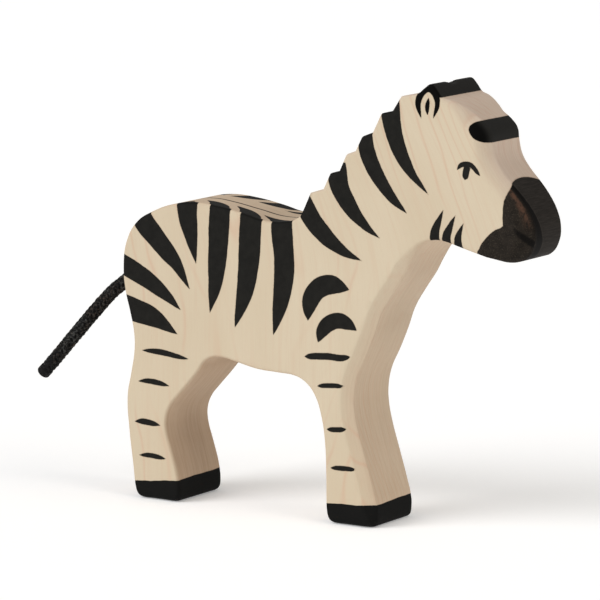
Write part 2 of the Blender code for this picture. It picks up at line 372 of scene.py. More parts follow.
def cord_material():
    """Black filaments with painted glints as highlights, and a darker sealed end."""
    material, shader = new_material("black_braid")
    tree = material.node_tree
    place = new_node(tree, "ShaderNodeTexCoord").outputs["Object"]
    fuzz = cloud(tree, place, 2600.0, 3.0, 0.6)
    # Painted highlights: where this noise is high, the cord gets small pale grey and brown glints.
    painted_highlight = cloud(tree, place, 1150.0, 2.0, 0.7)
    patches = cloud(tree, place, 210.0, 2.0)
    highlight_colour = blend(tree, ramp(tree, patches, 0.42, 0.58), GLINT_GREY, GLINT_BROWN)
    colour = blend(tree, ramp(tree, painted_highlight, 0.46, 0.68), DEEP_BLACK, highlight_colour)
    off_seal = ramp(tree, axis_of(tree, place, 0), SEALED_FROM_X, SEALED_TO_X)
    colour = blend(tree, off_seal, SEALED_BLACK, colour)
    tree.links.new(colour, shader.inputs["Base Color"])
    bump = new_node(tree, "ShaderNodeBump", Height=fuzz, Strength=0.6, Distance=0.00008)
    tree.links.new(bump.outputs[0], shader.inputs["Normal"])
    tree.links.new(ramp(tree, painted_highlight, 0.40, 0.66, 0.80, 0.38), shader.inputs["Roughness"])
    shader.inputs["Specular IOR Level"].default_value = 0.16
    return material


# %% [markdown]
# ## From the tree to a plain mesh
# The modifier is given to a curve that follows the route. What it makes is then copied into a mesh of its
# own, and the curve is deleted, so nothing live is left on the tail.

# %% Braid the tail
def plain_mesh(source, name):
    """The evaluated object as a new plain mesh object, with the source removed."""
    bpy.context.view_layer.update()
    evaluated = source.evaluated_get(bpy.context.evaluated_depsgraph_get())
    data = bpy.data.meshes.new_from_object(evaluated)
    bpy.data.objects.remove(source)
    data.name = name
    piece = bpy.data.objects.new(name, data)
    bpy.context.scene.collection.objects.link(piece)
    return piece


def route_curve(name, points):
    """A curve object with straight steps between the points."""
    curve = bpy.data.curves.new(name, "CURVE")
    curve.dimensions = "3D"
    spline = curve.splines.new("POLY")
    spline.points.add(len(points) - 1)
    for target, point in zip(spline.points, points):
        target.co = (*point, 1.0)
    made = bpy.data.objects.new(name, curve)
    bpy.context.scene.collection.objects.link(made)
    return made


braid, identifiers = braid_tree()
tail_line = route_curve("tail_line", evenly(smooth_line(tail_corners, CURVE_STEPS), 0.5 * MM))
modifier = tail_line.modifiers.new("braid", "NODES")
modifier.node_group = braid
modifier[identifiers["Material"]] = cord_material()
tail = plain_mesh(tail_line, "braided_tail")
print("braid:", len(tail.data.polygons), "faces,", [round(side / MM, 1) for side in tail.dimensions])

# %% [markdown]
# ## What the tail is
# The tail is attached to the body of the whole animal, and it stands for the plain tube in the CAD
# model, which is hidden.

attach(tail, "root")
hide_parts("tail_cord")

# %% [markdown]
# ## The body's outline, from the CAD solid
# The CAD solid has the right outline, in straight facets about two millimetres long. A render shows
# those. Rather than draw the outline again, this step cuts the solid with a plane, keeps the corners that
# the facets share, and runs a smooth curve through them. The notches of the mane stay sharp, and the
# corners of the hooves are sanded a little rounder.

# %% Read and smooth the outline
def section_corners(node, depth):
    """The solid's outline at that depth, in millimetres, as (x, z) in order."""
    mesh = bmesh.new()
    mesh.from_mesh(node.data)
    bmesh.ops.remove_doubles(mesh, verts=mesh.verts, dist=1e-6)
    walls = KDTree(len(mesh.verts))
    for i, vert in enumerate(mesh.verts):
        out_of_reach = 0.0 if vert.co.y < depth else 9.0
        walls.insert((vert.co.x, out_of_reach, vert.co.z), i)
    walls.balance()
    everything = mesh.verts[:] + mesh.edges[:] + mesh.faces[:]
    cut = bmesh.ops.bisect_plane(mesh, geom=everything, plane_co=(0, depth, 0), plane_no=(0, 1, 0))
    edges = {part for part in cut["geom_cut"] if isinstance(part, bmesh.types.BMEdge)}
    edge = next(iter(edges))
    vert = edge.verts[0]
    loop = []
    while edge is not None:
        edges.discard(edge)
        vert = edge.other_vert(vert)
        loop.append(vert.co.copy())
        edge = next((other for other in vert.link_edges if other in edges), None)
    mesh.free()
    corners = [place for place in loop if walls.find((place.x, 0.0, place.z))[2] < 2e-5]
    return np.array([(place.x, place.z) for place in corners]) / MM


def turning_angles(points):
    """How many degrees the closed line turns at each point."""
    into = points - np.roll(points, 1, axis=0)
    out = np.roll(points, -1, axis=0) - points
    angles = np.arctan2(out[:, 1], out[:, 0]) - np.arctan2(into[:, 1], into[:, 0])
    return np.degrees((angles + np.pi) % (2 * np.pi) - np.pi)


def smoothed_outline(corners, spacing, sharp=38.0):
    """A dense outline, anticlockwise, smooth through every corner that turns less than sharp degrees."""
    if np.sum(turning_angles(corners)) < 0:
        corners = corners[::-1]
    sharp_ones = np.flatnonzero(np.abs(turning_angles(corners)) > sharp)
    # The cut's loop may begin anywhere, so the highest sharp corner is made the first in every run.
    highest = sharp_ones[np.argmax(corners[sharp_ones, 1])]
    corners = np.roll(corners, -highest, axis=0)
    stops = sorted((sharp_ones - highest) % len(corners)) + [len(corners)]
    closed = np.vstack([corners, corners[:1]])
    stretches = []
    for first, last in zip(stops, stops[1:]):
        dense = evenly(smooth_line(closed[first : last + 1], 8), spacing)
        stretches.append(dense[:-1])
    return np.vstack(stretches), len(sharp_ones)


def averaged(values):
    """Each row round the outline, mixed half and half with its two neighbours."""
    return (np.roll(values, 1, axis=0) + 2 * values + np.roll(values, -1, axis=0)) / 4


OUTLINE_SPACING = 0.58
SECTION_DEPTH = 6.0 * MM
HOOF_CORNERS_BELOW = 4.0
HOOF_SANDING_ROUNDS = 14
corners = section_corners(frame["nodes"]["body"], -SECTION_DEPTH)
outline, notch_count = smoothed_outline(corners, OUTLINE_SPACING)
for attempt in range(HOOF_SANDING_ROUNDS):
    outline = np.where(outline[:, 1:] < HOOF_CORNERS_BELOW, averaged(outline), outline)
steps = np.linalg.norm(np.roll(outline, -1, axis=0) - outline, axis=1)
stations = np.concatenate([[0.0], np.cumsum(steps)[:-1]])
outline_length = float(steps.sum())
print("outline:", len(corners), "corners,", notch_count, "of them sharp")
print("smoothed:", len(outline), "stations,", round(outline_length), "mm round")

# %% [markdown]
# ## The worked edges
# A maker eases each sharp edge with a file. Most edges get under a millimetre, the chest gets a wide
# shallow chamfer, and the nose and the forehead are rounded well over. A Bevel modifier has one width for
# a whole mesh, so this step works out its own: for each station of the outline it holds how far the edge
# reaches on the face, how far down the side, and how round it is where it leaves the face and where it
# meets the side (2 is a true arc, less leaves a crease), and lets one kind fade into the next.

# %% Edge sizes along the outline
PLAIN_EDGE = (0.9, 0.9, 2.0, 2.0)
CHEST_EDGE = (3.4, 2.0, 1.0, 1.0)
NOSE_EDGE = (4.2, 4.2, 1.6, 1.15)
SOLE_EDGE = (1.5, 3.0, 2.0, 2.0)
SOLE_HEIGHT = 0.6
EDGE_FADE = 5.0


def station_of(x, z):
    """How far along the outline the nearest station is, in millimetres."""
    return float(stations[np.argmin(np.hypot(outline[:, 0] - x, outline[:, 1] - z))])


def along_from(origin, places):
    """Signed distance along the closed outline from one station to others."""
    return (places - origin + outline_length / 2) % outline_length - outline_length / 2


edges = np.tile(np.array(PLAIN_EDGE), (len(outline), 1))
worked = [(CHEST_EDGE, (18.2, 1.2), (31.5, 81.5)), (NOSE_EDGE, (61.5, 82.0), (46.0, 125.8))]
for edge, start, end in worked:
    inside = (stations >= station_of(*start)) & (stations <= station_of(*end))
    if station_of(*start) > station_of(*end):
        inside = (stations >= station_of(*start)) | (stations <= station_of(*end))
    edges[inside] = edge
edges[outline[:, 1] < SOLE_HEIGHT] = SOLE_EDGE
fade = round(EDGE_FADE / OUTLINE_SPACING)
edges = sum(np.roll(edges, shift, axis=0) for shift in range(-fade, fade + 1)) / (2 * fade + 1)
directions = np.roll(outline, -1, axis=0) - np.roll(outline, 1, axis=0)
directions /= np.linalg.norm(directions, axis=1)[:, None]
inward = np.stack([-directions[:, 1], directions[:, 0]], axis=1)
print("edge width on the face, mm:", round(edges[:, 0].min(), 2), "to", round(edges[:, 0].max(), 2))

# %% [markdown]
# Round a tight corner, lines that all run straight inwards would cross. Where two neighbours do, they are
# pulled towards the average of their own neighbours, again and again, until every line keeps its place.

# %% Untangle tight corners
UNTANGLING_ROUNDS = 200
LEAST_SHARE = 0.35
ahead = np.roll(outline, -1, axis=0) - outline
for attempt in range(UNTANGLING_ROUNDS):
    inset_line = outline + edges[:, :1] * inward
    step = np.roll(inset_line, -1, axis=0) - inset_line
    crossed = (step * ahead).sum(axis=1) < LEAST_SHARE * (ahead**2).sum(axis=1)
    if not crossed.any():
        break
    crossed = np.any([np.roll(crossed, shift) for shift in range(-4, 6)], axis=0)
    inward[crossed] = averaged(inward)[crossed]
print("untangled after", attempt, "rounds")

# %% [markdown]
# ## The stripes as brush strokes
# A stripe is what a brush leaves: it starts wide at the edge of the board, keeps its width for a while,
# and lifts off to a point. So each one is written as a painter would think of it: half the width of the
# brush, how late it lifts (1 is a plain wedge, 3 and more stay wide almost to the tip), and a few places
# that the brush passes, (x, z) in millimetres on the face of the board. A dash is the same with a point
# at both ends. An image texture could hold them too, but this library keeps its parts free of images, and
# strokes stay sharp at any zoom.

# %% Two kinds of brush stroke
PAINT_STEP = 0.45


def brush_path(points):
    """The brush's path as evenly spaced places, and the share of it that is behind each of them."""
    line = evenly(smooth_line(points, 12), PAINT_STEP)
    return line, np.linspace(0.0, 1.0, len(line))


def stripe(half, lift, *points):
    """(x, z, half width) along a stroke that starts at full width and lifts off to a point."""
    line, gone = brush_path(points)
    return np.column_stack([line, half * (1.0 - gone**lift)])


def dash(half, lift, *points):
    """(x, z, half width) along a stroke with a point at both ends."""
    line, gone = brush_path(points)
    return np.column_stack([line, half * (1.0 - np.abs(2.0 * gone - 1.0) ** lift)])


# %% [markdown]
# ## The strokes of this zebra
# No two stripes of a hand-painted toy are alike, so a rule such as evenly spaced bands would look wrong.
# Every stroke is told by itself, with as few places as its bend needs. They come in the order that a
# painter might take: rump, side, neck and shoulder, legs, and then the small ones under the chin, at the
# eye and on the ear.

# %% Strokes on the face
rump_strokes = [
    stripe(3.55, 2.8, (-64.3, 88.0), (-61.0, 83.0), (-56.5, 78.6), (-50.5, 72.5), (-45.4, 65.0)),
    stripe(3.1, 3.0, (-71.6, 71.4), (-66.0, 69.1), (-60.5, 66.5), (-55.5, 63.5), (-48.7, 58.5)),
    stripe(3.7, 2.6, (-70.2, 58.2), (-64.0, 56.8), (-57.5, 55.0), (-49.9, 51.1)),
    stripe(3.8, 2.0, (-46.3, 94.0), (-46.0, 87.0), (-45.0, 81.5), (-43.1, 72.8)),
]
side_strokes = [
    stripe(3.65, 3.5, (-34.5, 93.0), (-35.0, 84.0), (-35.4, 76.0), (-36.4, 67.5), (-38.3, 58.5)),
    stripe(3.85, 3.7, (-23.4, 92.0), (-24.0, 83.0), (-24.5, 74.5), (-25.9, 66.0), (-29.4, 55.0)),
    stripe(
        3.65, 4.2, (-13.0, 91.5), (-12.8, 84.0), (-12.0, 76.0), (-12.6, 68.0), (-14.1, 60.5), (-15.9, 54.0)
    ),
]
neck_strokes = [
    stripe(3.2, 2.0, (23.9, 126.0), (24.6, 119.5), (27.0, 112.0), (31.0, 105.5), (37.0, 99.4)),
    stripe(2.65, 3.2, (15.4, 116.0), (16.7, 109.5), (20.2, 103.3), (25.1, 97.3), (29.9, 93.4)),
    stripe(3.4, 2.0, (5.7, 106.0), (7.2, 99.3), (11.6, 92.8), (16.0, 88.6), (20.8, 85.5)),
    stripe(3.2, 2.3, (-6.4, 95.2), (-2.0, 88.8), (3.6, 83.7), (8.9, 80.6), (14.7, 78.5)),
]
shoulder_strokes = [
    dash(3.0, 3.0, (-3.8, 59.4), (-3.6, 62.8), (-2.4, 66.5), (0.4, 69.5), (4.6, 70.7), (10.4, 69.7)),
    dash(2.4, 3.2, (-0.3, 53.3), (0.9, 56.4), (3.2, 59.0), (6.4, 60.3), (9.8, 59.8), (13.0, 58.0)),
]
leg_strokes = [
    dash(0.88, 3.0, (-62.8, 45.1), (-57.0, 45.2), (-51.5, 44.6), (-46.0, 44.0)),
    dash(0.85, 2.6, (-64.2, 35.6), (-61.0, 36.0), (-57.0, 35.8), (-53.0, 35.2)),
    dash(0.95, 2.4, (-65.6, 23.2), (-62.0, 23.5), (-56.3, 22.9)),
    dash(0.8, 2.8, (-64.0, 13.1), (-59.5, 13.4), (-54.3, 12.9)),
    dash(0.98, 7.0, (-5.0, 48.7), (2.0, 49.4), (7.0, 49.4), (10.8, 50.0)),
    dash(0.74, 5.0, (-0.5, 40.4), (3.2, 40.9), (8.5, 41.1)),
    dash(0.75, 5.0, (2.8, 27.9), (6.1, 28.2), (9.3, 28.5)),
    dash(0.74, 5.0, (4.1, 16.6), (8.0, 16.9), (12.7, 17.0)),
]
chin_strokes = [
    stripe(1.7, 1.9, (39.2, 84.8), (39.4, 89.5), (42.0, 95.5)),
    stripe(1.55, 1.9, (43.1, 84.8), (43.3, 88.8), (46.0, 94.2)),
    stripe(1.4, 1.6, (47.1, 84.4), (46.9, 88.0), (48.7, 92.2)),
]
eye_strokes = [
    dash(0.74, 5.0, (46.4, 107.2), (48.1, 108.8), (51.1, 108.8), (54.0, 106.0)),
    dash(1.08, 5.0, (50.1, 108.9), (49.4, 106.7), (49.0, 104.5)),
]
ear_strokes = [
    dash(
        1.1, 3.0, (34.5, 121.0), (33.4, 124.9), (34.4, 128.1), (36.8, 129.8), (39.0, 128.4), (39.8, 125.2),
        (38.4, 121.2),
    ),
    dash(0.7, 2.4, (36.9, 127.1), (36.5, 124.4), (36.6, 122.1)),
    stripe(1.8, 1.8, (38.5, 130.5), (40.5, 128.8), (43.0, 127.4)),
]
black_strokes = rump_strokes + side_strokes + neck_strokes + shoulder_strokes
black_strokes += leg_strokes + chin_strokes + eye_strokes + ear_strokes
print(len(black_strokes), "brush strokes on each face")

# %% [markdown]
# ## From a stroke to a region
# The shader must know, at every point of the wood, whether it is inside a stroke. The handiest answer is
# a distance: positive inside the paint, zero at its edge, negative outside. It blends smoothly from one
# vertex to the next, so the edge of the paint comes out clean, and the shader can also find the thin rim
# beside it.

# %% Stroke outlines and distances
NO_PAINT = -2.0


def stroke_shape(stroke, unsteady=0.07, swaying=0.20):
    """(outline, middle line) of a brush stroke, with the quick and the slow unevenness of a hand."""
    middle, half = stroke[:, :2], np.maximum(stroke[:, 2], 0.03)
    way = np.gradient(middle, axis=0)
    way /= np.linalg.norm(way, axis=1)[:, None] + 1e-9
    across = np.stack([-way[:, 1], way[:, 0]], axis=1)
    edges_of_mark = []
    for side in (1.0, -1.0):
        shake = np.array([noise.noise(Vector((x * 0.45, z * 0.45, 7.0 * side))) for x, z in middle])
        sway = np.array([noise.noise(Vector((x * 0.16, z * 0.16, 31.0 * side))) for x, z in middle])
        width = half + (unsteady * shake + swaying * sway) * np.minimum(half, 1.0)
        edges_of_mark.append(middle + side * across * width[:, None])
    return np.vstack([edges_of_mark[0], edges_of_mark[1][::-1]]), middle


def distance_to(points, shape):
    """Distance from each point to the closed shape's edge, positive inside it."""
    start, end = shape, np.roll(shape, -1, axis=0)
    span = end - start
    nearest = np.full(len(points), np.inf)
    crossings = np.zeros(len(points), bool)
    for a, b, d in zip(start, end, span):
        t = np.clip(((points - a) @ d) / (d @ d + 1e-12), 0.0, 1.0)
        nearest = np.minimum(nearest, np.hypot(*(points - a - t[:, None] * d).T))
        straddles = (a[1] > points[:, 1]) != (b[1] > points[:, 1])
        reach = a[0] + (points[:, 1] - a[1]) * d[0] / (d[1] if abs(d[1]) > 1e-12 else 1e-12)
        crossings ^= straddles & (points[:, 0] < reach)
    return np.where(crossings, nearest, -nearest)


def paint_distance(points, shapes):
    """How far inside the nearest painted shape each point is, in millimetres."""
    result = np.full(len(points), NO_PAINT)
    for shape in shapes:
        low, high = shape.min(axis=0) + NO_PAINT, shape.max(axis=0) - NO_PAINT
        near = np.flatnonzero(((points > low) & (points < high)).all(axis=1))
        if len(near):
            result[near] = np.maximum(result[near], distance_to(points[near], shape))
    return result


stroke_pairs = [stroke_shape(stroke) for stroke in black_strokes]
face_shapes = [shape for shape, middle in stroke_pairs]
print("paint edges on a face:", round(sum(len(shape) for shape in face_shapes) * PAINT_STEP), "mm")

# %% [markdown]
# ## Muzzle, forehead and hooves
# The muzzle's face, the forehead band and the ear are areas, not strokes, so each is a closed shape on
# the same flat drawing of the profile. The forehead band runs over the edge and right across the nose, so
# its shape reaches past the outline. Over the nose the muzzle's brown has a top that falls away from the
# middle plane, and where the rounded nose meets its flat side there is a crease with painted shade beside
# it, which is near the middle low down and near the side higher up. The black of a hoof ends at a height
# that slopes a little and wavers like a hand, so a rule for that height says it better than a shape.

# %% Painted areas
forehead_corners = [
    (58.0, 121.3), (52.0, 121.2), (49.8, 119.6), (51.2, 116.9), (54.2, 115.3), (58.0, 115.4),
]
forehead_band = evenly(smooth_line(forehead_corners, 8), 0.5)
muzzle_edge = smooth_line([(61.6, 92.0), (58.6, 90.7), (55.7, 88.0), (53.9, 85.2), (53.0, 79.0)], 8)
muzzle_area = np.vstack([[(74.0, 106.3), (61.6, 98.3), (61.4, 94.5)], muzzle_edge, [(76.0, 76.0)]])
ear_corners = [(32.8, 134.0), (32.9, 127.6), (35.5, 129.2), (37.6, 129.6), (40.8, 127.2), (46.0, 130.0)]
ear_area = np.array(ear_corners)
mouth_strokes = [stripe(0.78, 4.0, (70.2, 86.3), (67.9, 88.9), (64.8, 92.1))]
print("areas:", len(forehead_band), "+", len(muzzle_area), "+", len(ear_area), "points")

# %% Paint that is told by rules
# The muzzle's top: its height in the middle, how far it falls, and how far round the nose it still falls.
MUZZLE_TOP = 104.9
MUZZLE_FALL = 5.5
FALL_REACH = 15.0
# The thin line along the back: how far along the body, and how far off the middle plane.
BACK_LINE = [(-47.0, 0.9), (-43.0, -0.4), (-29.0, -1.7), (-16.0, 0.3)]
# The crease, between these heights: how far off the middle plane, and how wide the painted shade beside it.
CREASE_HEIGHT = (87.0, 103.4)
CREASE_PLACE = (2.6, 7.3)
CREASE_WIDTH = (5.4, 1.6)
# The edge of a hoof's black: its height, its slope along and across the board, and the x it is measured at.
HIND_HOOF = (5.2, 0.11, 0.012, -64.7)
FORE_HOOF = (6.1, 0.045, 0.015, 3.2)
NEAR_FACE = -11.5
BETWEEN_LEGS = -20.0


def hoof_line(x, y):
    """The height that the black of the hooves reaches."""
    lines = []
    for height, slope, slope_across, measured_at in (HIND_HOOF, FORE_HOOF):
        lines.append(height + slope * (x - measured_at) + slope_across * (y - NEAR_FACE))
    waver = 0.07 * np.sin(0.7 * x + 0.35 * y) + 0.03 * np.sin(1.9 * x - y)
    return np.where(x < BETWEEN_LEGS, *lines) + waver


print("hind hoof black to", round(float(hoof_line(-60.0, NEAR_FACE)), 1), "mm")

# %% [markdown]
# ## Strokes that run over the back
# On the side of the board the drawing is unrolled: one direction is the way along the outline, the other
# is the way across the thickness. The saddle stripes curl backwards there and end in a point, the mane
# stripes go right across, and a hair-thin line runs down the middle of the back.

# %% Strokes on the side of the board
def wrapped_stroke(place, half, reach, lean):
    """A stroke that comes over the edge at a place of the outline and curls along it to a point."""
    root = station_of(*place)
    marks = [
        (0.0, -half_thickness - 1.5, half), (0.15 * lean, -half_thickness + 1.4, 0.86 * half),
        (0.5 * lean, -half_thickness + 0.68 * reach, 0.5 * half), (lean, -half_thickness + reach, 0.05),
    ]
    return root, stroke_shape(evenly(smooth_line(marks, 12), PAINT_STEP))[0]


wrapped = [
    wrapped_stroke((-34.5, 89.9), 3.6, 5.9, 8.6), wrapped_stroke((-23.6, 88.4), 3.9, 6.1, 9.0),
    wrapped_stroke((-12.6, 87.5), 3.2, 5.9, 10.3), wrapped_stroke((-46.0, 90.8), 3.1, 2.3, -1.5),
    wrapped_stroke((-61.9, 85.4), 3.3, 5.2, 5.0), wrapped_stroke((-69.3, 70.4), 3.0, 4.2, 1.6),
    wrapped_stroke((-67.0, 57.4), 3.6, 5.0, -3.0),
]
mane_bands = [
    ((27.0, 125.2), (20.9, 121.2)), ((18.4, 116.3), (13.4, 111.0)), ((8.7, 106.8), (2.9, 100.9)),
    ((-3.4, 96.7), (-6.4, 90.4)),
]


def side_paint(along, across):
    """How far inside the black each point of the side is, from its way along and across."""
    result = np.full(len(along), NO_PAINT)
    shake = np.array([noise.noise(Vector((s * 0.35, y * 0.35, 3.0))) for s, y in zip(along, across)])
    for root, shape in wrapped:
        points = np.stack([along_from(root, along), -np.abs(across)], axis=1)
        result = np.maximum(result, paint_distance(points, [shape]))
    for start, end in mane_bands:
        first, last = station_of(*start), station_of(*end)
        middle, half = first + along_from(first, last) / 2, abs(along_from(first, last)) / 2
        waist = 0.5 * (1.0 - (across / half_thickness) ** 2)
        result = np.maximum(result, half - waist - np.abs(along_from(middle, along)) + 0.3 * shake)
    return result


# %% [markdown]
# ## A skin that carries the paint
# The skin has three parts: the two faces and the strip round them. The strip is a plain grid of stations
# by rings. Each face is filled by a Delaunay triangulation, which joins any set of points into
# well-shaped triangles, and it is given the paint's edges as lines that it must keep. So a stripe's edge
# is a real edge of the mesh, and the triangles are small only where there is something to draw.

# %% Rings round the board
EASING_RINGS = 6
DEPTH_RINGS = 30


def eased_ring(step):
    """(x, z) and the rise from the face for one ring of the worked edge. Step 0 is on the side."""
    turn_angle = math.pi / 2 * step / EASING_RINGS
    width, depth, face_round, side_round = edges.T
    inset = width * (1.0 - max(0.0, math.cos(turn_angle)) ** (2.0 / face_round))
    rise = depth * (1.0 - math.sin(turn_angle) ** (2.0 / side_round))
    return outline + inset[:, None] * inward, rise


rings = []
for step in range(EASING_RINGS, 0, -1):
    flat, rise = eased_ring(step)
    rings.append((flat, -(half_thickness - rise)))
side_depth = half_thickness - eased_ring(0)[1]
for part in np.linspace(-1.0, 1.0, DEPTH_RINGS + 1):
    rings.append((outline, part * side_depth))
for step in range(1, EASING_RINGS + 1):
    flat, rise = eased_ring(step)
    rings.append((flat, half_thickness - rise))
rim = rings[0][0]
print(len(rings), "rings of", len(outline))

# %% [markdown]
# ## The hollow between the ears
# Seen from the front, the two ears part in the middle of the thickness, where a round tool took a little
# wood away. A Boolean modifier could cut that, but it would break the even grid of the strip. The points
# that lie under the tool are lowered onto its arc instead.

# %% The ears part in the middle of the thickness
EAR_NOTCH_WIDTH = 6.2
EAR_NOTCH_DEPTH = 0.8
EAR_PLACE = 37.6
EAR_REACH = 5.0
notch_radius = (EAR_NOTCH_WIDTH**2 / 4 + EAR_NOTCH_DEPTH**2) / (2 * EAR_NOTCH_DEPTH)
top = outline[:, 1].max()
strip = np.concatenate([np.column_stack([flat[:, 0], depth, flat[:, 1]]) for flat, depth in rings])
arc = np.sqrt(np.maximum(0.0, notch_radius**2 - strip[:, 1] ** 2))
notch_floor = top - EAR_NOTCH_DEPTH + notch_radius - arc
in_notch = (np.abs(strip[:, 1]) < EAR_NOTCH_WIDTH / 2) & (np.abs(strip[:, 0] - EAR_PLACE) < EAR_REACH)
strip[:, 2] = np.where(in_notch, np.minimum(strip[:, 2], notch_floor), strip[:, 2])
print("side strip:", len(strip), "points")

# %% [markdown]
# ## Points for a face
# The triangulation needs points. The rim comes first, because it has to be the same as the strip's own.
# Then come the paint's edges, with a row of loose points beside each and another along the middle of the
# stroke, so that the distances are true on both sides of an edge. A plain grid fills what is left. Points
# that would come too close to others are dropped, as they would make slivers.

# %% Gather a face's points
RIM_GAP = 0.3
BESIDE_EDGE = 0.4
MIDDLE_GAP = 0.12
ROW_STEP = 1.0
COLUMN_STEP = 1.1
GRID_RIM_GAP = 0.5
GRID_PAINT_GAP = 0.55


def paint_points(shape, middle, count):
    """(edge points, loose points, kept lines) of one stroke, numbered from count on."""
    ring = evenly(shape, PAINT_STEP, closed=True)
    deep = distance_to(ring, rim) > RIM_GAP
    numbers = np.cumsum(deep) - 1 + count
    pairs = [(i, (i + 1) % len(ring)) for i in range(len(ring))]
    kept = [(numbers[i], numbers[j]) for i, j in pairs if deep[i] and deep[j]]
    way = np.roll(ring, -1, axis=0) - np.roll(ring, 1, axis=0)
    way /= np.linalg.norm(way, axis=1)[:, None] + 1e-9
    swirl = np.sum(ring[:, 0] * np.roll(ring[:, 1], -1) - np.roll(ring[:, 0], -1) * ring[:, 1])
    outside = ring + math.copysign(BESIDE_EDGE, swirl) * np.stack([way[:, 1], -way[:, 0]], axis=1)
    along_middle = middle[distance_to(middle, ring) > MIDDLE_GAP]
    loose = np.vstack([outside, along_middle])
    return ring[deep], loose[distance_to(loose, rim) > RIM_GAP], kept


def plain_grid():
    """Staggered rows of points inside the rim, away from every edge of the paint."""
    low, high = rim.min(axis=0), rim.max(axis=0)
    rows = np.arange(low[1], high[1], ROW_STEP)
    columns = np.arange(low[0], high[0], COLUMN_STEP)
    grid = np.array([(x + COLUMN_STEP / 2 * (j % 2), z) for j, z in enumerate(rows) for x in columns])
    grid = grid[distance_to(grid, rim) > GRID_RIM_GAP]
    return grid[np.abs(paint_distance(grid, face_shapes)) > GRID_PAINT_GAP]


# %% Fill a face
kept_lines = [(i, (i + 1) % len(rim)) for i in range(len(rim))]
cloud_parts = [rim]
for shape, middle in stroke_pairs:
    edge_points, loose_points, kept = paint_points(shape, middle, sum(len(part) for part in cloud_parts))
    cloud_parts += [edge_points, loose_points]
    kept_lines += kept
face_cloud = np.vstack(cloud_parts + [plain_grid()])
filled = delaunay_2d_cdt([Vector(point) for point in face_cloud], kept_lines, [], 1, 1e-5, True)
face_places = np.array([tuple(place) for place in filled[0]])
face_triangles = np.array(filled[2])
origins = filled[3]
print("face:", len(face_places), "points,", len(face_triangles), "triangles")

# %% [markdown]
# ## Weld the skin
# The rim points of each face are the same points as the first and the last ring of the strip, so the
# faces and the strip share them and the skin is closed by its making, with nothing to merge afterwards.
# The back face is the front one, mirrored, and turned over so that it looks outwards.

# %% Body mesh
def rim_number(originals):
    """The station that a point of the filled face came from, or -1."""
    return next((number for number in originals if number < len(rim)), -1)


on_rim = np.array([rim_number(numbers) for numbers in origins])
inner = np.flatnonzero(on_rim < 0)
middles = face_places[face_triangles].mean(axis=1)
face_triangles = face_triangles[distance_to(middles, rim) > 0]
last_ring = (len(rings) - 1) * len(rim)
front_numbers = on_rim.copy()
front_numbers[inner] = len(strip) + np.arange(len(inner))
back_numbers = last_ring + on_rim
back_numbers[inner] = len(strip) + len(inner) + np.arange(len(inner))
front_depth = np.full(len(inner), -half_thickness)
front = np.column_stack([face_places[inner, 0], front_depth, face_places[inner, 1]])
places = np.vstack([strip, front, front * (1.0, -1.0, 1.0)])
ring, station = np.meshgrid(np.arange(len(rings) - 1), np.arange(len(rim)), indexing="ij")
here, beyond = ring * len(rim) + station, ring * len(rim) + (station + 1) % len(rim)
quads = np.stack([here, here + len(rim), beyond + len(rim), beyond], axis=-1).reshape(-1, 4)
front_faces = front_numbers[face_triangles]
back_faces = back_numbers[face_triangles][:, ::-1]
faces = quads.tolist() + front_faces.tolist() + back_faces.tolist()
body_data = bpy.data.meshes.new("painted_body")
body_data.from_pydata((places * MM).tolist(), [], faces)
body_data.polygons.foreach_set("use_smooth", np.ones(len(faces), bool))
body = bpy.data.objects.new("painted_body", body_data)
bpy.context.scene.collection.objects.link(body)
check = bmesh.new()
check.from_mesh(body_data)
loose_edges = sum(1 for edge in check.edges if len(edge.link_faces) != 2)
print("body:", len(places), "points,", loose_edges, "open edges")
print("volume:", round(check.calc_volume() / MM**3), "mm3")
check.free()

# %% [markdown]
# ## Write the paint onto the skin
# Every point gets its distances as named attributes, in millimetres: black stripes, hoof black, muzzle
# brown and the mouth. The crease, where the rounded nose turns, is counted in millimetres towards the
# middle and in shares of its own width towards the face. Others say where the point is on the board:
# around is 0 on a face and 1 on the side, ridge marks the back, and off_ridge is the way to the thin line
# along it. Materials could work this out from a place alone only with far more nodes.

# %% Where each point is
FACE_PAINT_FALL = 4.0


def store(name, values):
    """Writes one number for each point of the skin as a named attribute."""
    attribute = body_data.attributes.new(name, "FLOAT", "POINT")
    attribute.data.foreach_set("value", np.asarray(values, np.float32))
    print(f"{name}: {values.min():.2f} to {values.max():.2f}")


x, y, z = places.T
flat = places[:, [0, 2]]
strip_count = len(strip)
strip_along = np.tile(stations, len(rings))
strip_height = np.tile(outline[:, 1], len(rings))
strip_depth = np.tile(side_depth, len(rings))
on_side = np.abs(strip[:, 1]) <= strip_depth + 1e-6
ring_numbers = np.repeat(np.arange(len(rings)), len(rim))
from_face = np.minimum(ring_numbers, len(rings) - 1 - ring_numbers)
around = np.zeros(len(places))
around[:strip_count] = np.minimum(from_face / EASING_RINGS, 1.0)

# %% Black paint
black = np.full(len(places), NO_PAINT)
black[strip_count:] = np.tile(paint_distance(front[:, [0, 2]], face_shapes), 2)
strip_face = np.concatenate([paint_distance(part[0], face_shapes) for part in rings])
depth_into_side = np.maximum(0.0, strip_depth - np.abs(strip[:, 1]))
wrapped_face = strip_face - FACE_PAINT_FALL * depth_into_side
side_black = np.maximum(side_paint(strip_along, strip[:, 1]), wrapped_face)
black[:strip_count] = np.where(on_side, side_black, strip_face)
black = np.maximum(black, paint_distance(flat, [forehead_band, ear_area]))

# %% [markdown]
# On the rounded nose a flat drawing isn't enough: its brown ends at a line that runs round from one side
# to the other. So there the distance is worked out from how far round the nose a point is, and the
# smaller of two distances counts, down from the top line and in from where the brown starts under the
# chin.

